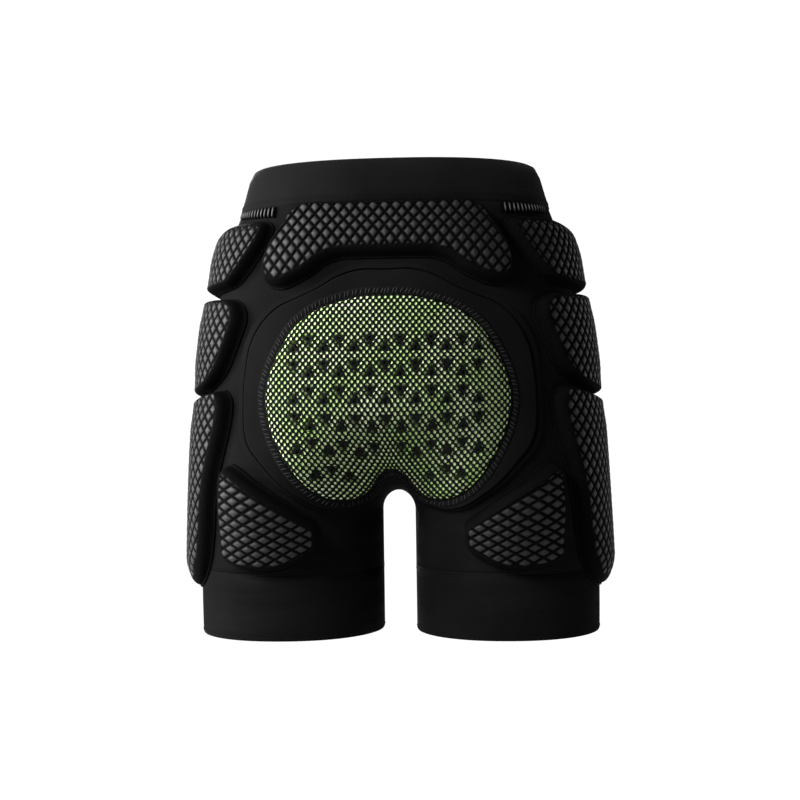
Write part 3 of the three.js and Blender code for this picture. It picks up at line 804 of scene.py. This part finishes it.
# each pad's arc, height, top, cell and shoulder widths (rear, top, front, bottom), then
# its outline as shares of the arc towards the rear and of the height downwards
side_pads = {
    "rear_thigh_pad": (0.160, 0.094, -0.241, (0.0120, 0.0089), (1, 1, 1, 1), [
        (0.585, 0), (0.63, 0.03), (0.726, 0.165), (0.83, 0.31), (0.928, 0.45), (0.987, 0.54),
        (1, 0.65), (0.985, 0.8), (0.923, 0.89), (0.853, 0.955), (0.77, 1), (0.693, 1),
        (0.61, 0.98), (0.54, 0.925), (0.502, 0.84), (0.502, 0.66), (0.515, 0.3), (0.535, 0.07),
    ]),
    "outer_thigh_pad": (0.092, 0.178, -0.1775, side_cell, (1, 0.45, 1, 3), [
        (0.65, 0.016), (0.8, 0.004), (0.91, 0.004), (0.985, 0.05), (0.985, 0.15), (0.93, 0.3),
        (0.87, 0.43), (0.81, 0.58), (0.745, 0.73), (0.66, 0.86), (0.53, 0.945), (0.35, 0.99),
        (0, 1), (-0.36, 0.97), (-0.52, 0.88), (-0.58, 0.7), (-0.61, 0.45), (-0.62, 0.24),
        (-0.58, 0.13), (-0.44, 0.08), (0, 0.064), (0.3, 0.05), (0.48, 0.034),
    ]),
    "mid_hip_pad": (0.103, 0.0915, -0.0968, side_cell, (1, 0.6, 1, 0.45), [
        (0.7, 0.01), (0.88, 0.035), (0.975, 0.115), (1, 0.24), (0.965, 0.37), (0.9, 0.54),
        (0.83, 0.69), (0.73, 0.8), (0.58, 0.88), (0.3, 0.94), (0, 0.975), (-0.4, 0.985),
        (-0.54, 0.85), (-0.58, 0.5), (-0.56, 0.2), (-0.44, 0.04), (0, 0),
    ]),
    "upper_hip_pad": (0.120, 0.0714, -0.023, side_cell, (1, 1.5, 1, 0.45), [
        (0.55, 0.115), (0.78, 0.105), (0.96, 0.115), (1.03, 0.2), (1.01, 0.37), (0.93, 0.57),
        (0.82, 0.79), (0.73, 0.905), (0.58, 0.95), (0.3, 0.975), (0, 0.99), (-0.32, 1),
        (-0.45, 0.86), (-0.49, 0.5), (-0.48, 0.3), (-0.38, 0.18), (0, 0.165), (0.3, 0.15),
    ]),
}
for name, (arc, tall, top, cell, shoulders, outline) in side_pads.items():
    loop = smooth_loop(outline, arc, tall, top)
    foam_pad([f"{name}_right", f"{name}_left"], loop, cell, on_side, shoulders)

# Seat panel
# A yoke of cloth-faced foam moulded round the seat window. Its edge is pressed
# thin and sewn down, and a soft step inside that edge lifts it to full thickness.
panel_half_wide = 0.128
panel_tall = 0.209
panel_top = -0.074
panel_counts = (420, 110)
panel_seam = (0.0016, 0.0021)  # how far inside the edge and how proud
window_half_wide = 0.102
window_tall = 0.172
window_top = -0.1005
window_centre = np.array([0, window_top - 0.49 * window_tall])
panel_loop = smooth_loop(both_sides([
    (0, 0), (0.19, 0), (0.34, 0.03), (0.47, 0.08), (0.63, 0.12), (0.74, 0.145), (0.82, 0.18),
    (0.9, 0.235), (0.96, 0.31), (0.985, 0.4), (1, 0.52), (1, 0.68), (0.965, 0.745),
    (0.875, 0.81), (0.745, 0.89), (0.61, 0.95), (0.5, 0.99), (0.39, 1), (0.29, 0.985),
    (0.21, 0.95), (0.13, 0.9), (0.06, 0.875), (0, 0.87),
]), panel_half_wide, panel_tall, panel_top)
window_loop = smooth_loop(both_sides([
    (0, 0), (0.13, 0), (0.34, 0.02), (0.58, 0.07), (0.76, 0.155), (0.885, 0.27), (0.97, 0.39),
    (1, 0.5), (0.97, 0.64), (0.885, 0.77), (0.78, 0.875), (0.63, 0.965), (0.47, 1),
    (0.35, 0.99), (0.27, 0.965), (0.2, 0.92), (0.13, 0.865), (0.06, 0.835), (0, 0.83),
]), window_half_wide, window_tall, window_top)


def reach_of(loop, turn):
    """How far a loop lies from the middle of the window, in each direction."""
    out = loop - window_centre
    angle = np.arctan2(out[:, 0], out[:, 1])
    order = np.argsort(angle)
    return np.interp(turn, angle[order], np.hypot(out[:, 0], out[:, 1])[order], period=2 * math.pi)


# round the panel's section: share of the way, how far in to the window, and height
panel_section = np.array([
    [0.00, 0.00, 0.0003],
    [0.03, 0.00, 0.0022],
    [0.05, 0.02, 0.0027],
    [0.14, 0.16, 0.0030],
    [0.17, 0.18, 0.0012],
    [0.20, 0.21, 0.0012],
    [0.23, 0.22, 0.0042],
    [0.28, 0.27, 0.0057],
    [0.45, 0.55, 0.0058],
    [0.66, 0.85, 0.0055],
    [0.74, 0.96, 0.0050],
    [0.78, 1.00, 0.0042],
    [0.80, 1.00, 0.0003],
    [0.90, 0.50, 0.0003],
    [1.00, 0.00, 0.0003],
])


def panel_flat(share, inward):
    turn = 2 * math.pi * (share - 0.5)
    radius = (1 - inward) * reach_of(panel_loop, turn) + inward * reach_of(window_loop, turn)
    return window_centre + np.stack([np.sin(turn), np.cos(turn)], axis=-1) * radius[:, None]


def laid_ring(counts, section, flat_at):
    """A closed ring on the back: one section all round, put in place by flat_at."""
    bm = bmesh.new()
    bmesh.ops.create_grid(bm, x_segments=counts[0], y_segments=counts[1], size=0.5)
    square = places(bm)[:, :2] + 0.5
    across = np.interp(square[:, 1], section[:, 0], section[:, 1])
    height = np.interp(square[:, 1], section[:, 0], section[:, 2])
    seat = on_back(flat_at(square[:, 0], across))
    put(bm, seat + outward(seat)[0] * height[:, None])
    bmesh.ops.remove_doubles(bm, verts=bm.verts, dist=same_point)
    bmesh.ops.recalc_face_normals(bm, faces=bm.faces)
    return bm


panel = laid_ring(panel_counts, panel_section, panel_flat)
panel_cloth = stretch_cloth("panel_cloth", (0.0050, 0.0050, 0.0050), 0.0007, 0.003, 0.85)
yoke = mesh_object("moulded_seat_panel", panel, panel_cloth)
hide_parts("seat_panel")
seam("stitch_seat_panel", [edge_row(panel_loop, on_back, *panel_seam)])

# Seat pad
# One piece of soft lime green gel foam, moulded with rows of rounded triangular
# holes that let it bend and breathe. It lies in the window, under the mesh.
hole_pitch = 0.0252
hole_size = 0.0034
hole_drop = 0.0075
# down from the window top, first place from the middle in pitches, how many, and
# whether the corner points down
hole_rows = [
    (0.217, -2.5, 6, -1), (0.256, -3, 7, 1), (0.339, -3, 7, -1), (0.378, -2.5, 6, 1),
    (0.461, -2.5, 6, -1), (0.505, -3, 7, 1), (0.588, -3, 7, -1), (0.627, -2.5, 6, 1),
    (0.706, -2.5, 6, -1), (0.745, -3, 3, 1), (0.745, 1, 3, 1), (0.828, -2, 1, -1),
    (0.828, 2, 1, -1), (0.862, -2.5, 2, 1), (0.862, 1.5, 2, 1),
]
hole_reach = 0.008
hole_edge = 0.0004
hole_sharpness = 6
seat_height = 0.0090
seat_shoulder = 0.011
seat_inset = 0.0006
seat_edge = (-0.0001, 0.0008)
rim_share = 0.42


def seat_level(flat):
    """The top of the seat pad over each point, before its holes."""
    rise = np.clip(from_edge(flat, window_loop)[0] / seat_shoulder, 0, 1)
    return off_cloth + seat_height * (rim_share + (1 - rim_share) * np.sqrt(1 - (1 - rise) ** 2))


def seat_skin(flat):
    height = seat_level(flat) * ease(from_edge(flat, seat_loop)[0], *seat_edge)
    height = np.maximum(height, off_cloth)
    solid = np.ones(len(flat))
    for down, first, count, points in hole_rows:
        for k in range(count):
            middle = [(first + k) * hole_pitch, window_top - down * window_tall]
            way = flat - middle
            near = np.hypot(way[:, 0], way[:, 1]) < hole_reach
            total = np.zeros(near.sum())
            for corner in range(3):
                face = points * math.pi / 2 + (corner + 0.5) * 2 * math.pi / 3
                side = way[near] @ [math.cos(face), math.sin(face)]
                total += np.clip(side, 0, None) ** hole_sharpness
            across = total ** (1 / hole_sharpness)
            wall = ease(across, hole_size - hole_edge, hole_size + hole_edge)
            solid[near] = np.minimum(solid[near], wall)
    # solid is 0 in the holes, which the material paints near black.
    return np.maximum(height - hole_drop * (1 - solid), off_cloth), solid


window_along, window_out = loop_ways(window_loop)
seat_loop = window_loop - seat_inset * window_out
seat_step = 0.0010

gel, tree, skin = new_material("lime_gel_foam")
relief = add(tree, "Attribute")
relief.attribute_name = "relief"
place = add(tree, "TexCoord")
cloud = add(tree, "TexNoise", {"Scale": 26, "Detail": 4})
tints = colour_ramp(tree, 0.35, (0.50, 0.80, 0.24), 0.68, (0.84, 0.98, 0.60))
# Holes and their sloping walls are painted near black. This is partly the black cloth under the pad, and
# partly painted shade in the holes.
depths = add(tree, "Mix")
depths.data_type = "RGBA"
depths.inputs[first_colour].default_value = (0.0006, 0.0008, 0.0005, 1)
pores = add(tree, "TexNoise", {"Scale": 900})
bump = add(tree, "Bump", {"Strength": 0.15, "Distance": 0.0003})
wire(
    tree,
    (place, "Object", cloud, "Vector"),
    (place, "Object", pores, "Vector"),
    (cloud, "Fac", tints, "Fac"),
    (relief, "Fac", depths, "Factor"),
    (tints, "Color", depths, second_colour),
    (depths, mixed, skin, "Base Color"),
    (pores, "Fac", bump, "Height"),
    (bump, "Normal", skin, "Normal"),
)
skin.inputs["Roughness"].default_value = 0.42
skin.inputs["Specular IOR Level"].default_value = 0.5

wide, tall = seat_loop.max(axis=0) - seat_loop.min(axis=0)
cushion = laid_body(
    lambda s, t: stretch_between(seat_loop, s, t),
    on_back,
    seat_skin,
    (int(wide / seat_step), int(tall / seat_step)),
    (int(wide / under_pitch), int(tall / under_pitch)),
)
seat_pad = mesh_object("soft_seat_pad", cushion, gel)
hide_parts("seat_pad")

# Window mesh
# A black open net, cut on the bias and stretched over the green pad. Its edge is
# caught under the binding that runs round the window.
net_wide = 0.0050
net_tall = 0.0060
net_thread = 0.0006
net_thick = 0.0005
net_reach = 0.155
net_margin = 0.0025
corner_cut = 0.0009
net_clear = 0.0003
net = bmesh.new()
cells = 2 * int(net_reach / net_wide)
slant = Matrix((
    (net_wide / 2, -net_wide / 2, 0, window_centre[0]),
    (net_tall / 2, net_tall / 2, 0, window_centre[1]),
    (0, 0, 1, 0),
    (0, 0, 0, 1),
))
bmesh.ops.create_grid(net, x_segments=cells, y_segments=cells, size=cells / 2)
bmesh.ops.transform(net, matrix=slant, verts=net.verts)


def past_window(flat):
    """How far each point lies outside the window, less than 0 inside it."""
    out = flat - window_centre
    return np.hypot(out[:, 0], out[:, 1]) - reach_of(window_loop, np.arctan2(out[:, 0], out[:, 1]))


middles = np.array([f.calc_center_median()[:2] for f in net.faces])
inside = past_window(middles) < net_margin
outer_cells = [f for f, keep in zip(net.faces, inside) if not keep]
bmesh.ops.delete(net, geom=outer_cells, context="FACES")
openings = list(net.faces)
bmesh.ops.inset_individual(net, faces=openings, thickness=net_thread, use_even_offset=True)
corners = list({v for f in openings for v in f.verts})
bmesh.ops.bevel(
    net, geom=corners, offset=corner_cut, affect="VERTICES", segments=1, profile=0.5, material=-1
)
bmesh.ops.delete(net, geom=[f for f in net.faces if len(f.verts) == 8], context="FACES_ONLY")
flat = places(net)[:, :2]
seat = on_back(flat)
caught = past_window(flat) > 0
lift = np.where(caught, seat_level(window_loop[:1]), seat_level(flat)) + net_thick / 2 + net_clear
put(net, seat + outward(seat)[0] * lift[:, None])
bmesh.ops.recalc_face_normals(net, faces=net.faces)
bmesh.ops.solidify(net, geom=list(net.faces), thickness=net_thick)

net_black, tree, skin = new_material("net_thread")
place = add(tree, "TexCoord")
twist = add(tree, "TexNoise", {"Scale": 1400})
shades = colour_ramp(tree, 0, (0.0012, 0.0016, 0.0012), 1, (0.0040, 0.0050, 0.0040))
bump = add(tree, "Bump", {"Strength": 0.5, "Distance": 0.0002})
wire(
    tree,
    (place, "Object", twist, "Vector"),
    (twist, "Fac", shades, "Fac"),
    (shades, "Color", skin, "Base Color"),
    (twist, "Fac", bump, "Height"),
    (bump, "Normal", skin, "Normal"),
)
skin.inputs["Roughness"].default_value = 0.8
skin.inputs["Specular IOR Level"].default_value = 0.05
window_mesh = mesh_object("window_mesh", net, net_black)

# Window binding
# A flat tape covers the raw edges of the mesh and the panel, held down by a close
# overcast stitch in paler thread.
tape_steps = 12
# round the tape's section: share of the way, distance outside the window, height
tape_section = np.array([
    [0.00, -0.0012, 0.0046],
    [0.08, -0.0012, 0.0056],
    [0.25, 0.0006, 0.0063],
    [0.50, 0.0050, 0.0063],
    [0.58, 0.0062, 0.0059],
    [0.62, 0.0062, 0.0050],
    [1.00, -0.0012, 0.0046],
])


def binding_flat(share, aside):
    k = np.round(share * loop_points).astype(int) % loop_points
    return window_loop[k] + window_out[k] * aside[:, None]


binding = laid_ring((loop_points, tape_steps), tape_section, binding_flat)
tape = mesh_object("window_binding", binding, panel_cloth)

overcast_step = 2.6
overcast_aside = 0.0029
overcast_height = 0.0064
overcast_long = 0.0062
overcast_thick = 0.0009
overcast_slant = 0.4
overcast_ahead = 0.001
overcast_thread = stretch_cloth("overcast_thread", (0.034, 0.034, 0.034), 0.0005, 0.0, 0.6)
overcast = bmesh.new()
k = np.arange(0, loop_points, overcast_step).astype(int)
flat = window_loop[k] + window_out[k] * overcast_aside
ahead = flat + overcast_ahead * (window_out[k] + overcast_slant * window_along[k])
seat, tip = on_back(flat), on_back(ahead)
ways = outward(seat)[0]
middles = seat + ways * overcast_height
stitches(overcast, middles, tip - seat, ways, overcast_long, overcast_thick)
overcast_stitch = mesh_object("window_overcast_stitch", overcast, overcast_thread)

# Gathers
# Short strips of the knit, shirred on elastic, that let the cloth spread between
# the waistband and the hip pads.
gather_top = -0.0193
gather_arc = (0.062, 0.125)
gather_tall = (0.0070, 0.0098)
gather_ribs = 13
gather_flat = 0.0006
gather_rise = 0.0022
rib_slant = 0.02
rib_foot = 0.2
end_share, edge_share = 0.02, 0.1
strip_counts = (260, 16)
strip_under_counts = (24, 2)


def gather_spread(s, t):
    across = gather_arc[0] + s * (gather_arc[1] - gather_arc[0])
    tall = gather_tall[0] + s * (gather_tall[1] - gather_tall[0])
    return np.stack([across, gather_top - (1 - t) * tall], axis=-1)


def gather_skin(flat):
    s = (flat[:, 0] - gather_arc[0]) / (gather_arc[1] - gather_arc[0])
    t = (gather_top - flat[:, 1]) / (gather_tall[0] + s * (gather_tall[1] - gather_tall[0]))
    end = np.minimum(ease(s, 0, end_share), ease(1 - s, 0, end_share))
    end = end * np.minimum(ease(t, 0, edge_share), ease(1 - t, 0, edge_share))
    rib = np.sin(math.pi * gather_ribs * (s + rib_slant * t)) ** 2
    rib = rib * np.sin(math.pi * (rib_foot + (1 - 2 * rib_foot) * t))
    # rib is returned as the relief, which paints the rib tops pale and the hollows dark.
    return off_cloth + end * (gather_flat + gather_rise * rib), rib


# The strips are the black knit. Their rib tops are painted pale as a highlight, and the hollows between
# them are painted near black as shade.
shirred_knit = foam_cloth("shirred_knit", (0.0008, 0.0008, 0.0008), (0.110, 0.110, 0.108))
strip = laid_body(gather_spread, on_side, gather_skin, strip_counts, strip_under_counts)
for side in ("right", "left"):
    if side == "left":
        other_side(strip)
    gathered = mesh_object(f"shirred_strip_{side}", strip.copy(), shirred_knit)
    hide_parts(f"gather_{side}")
strip.free()
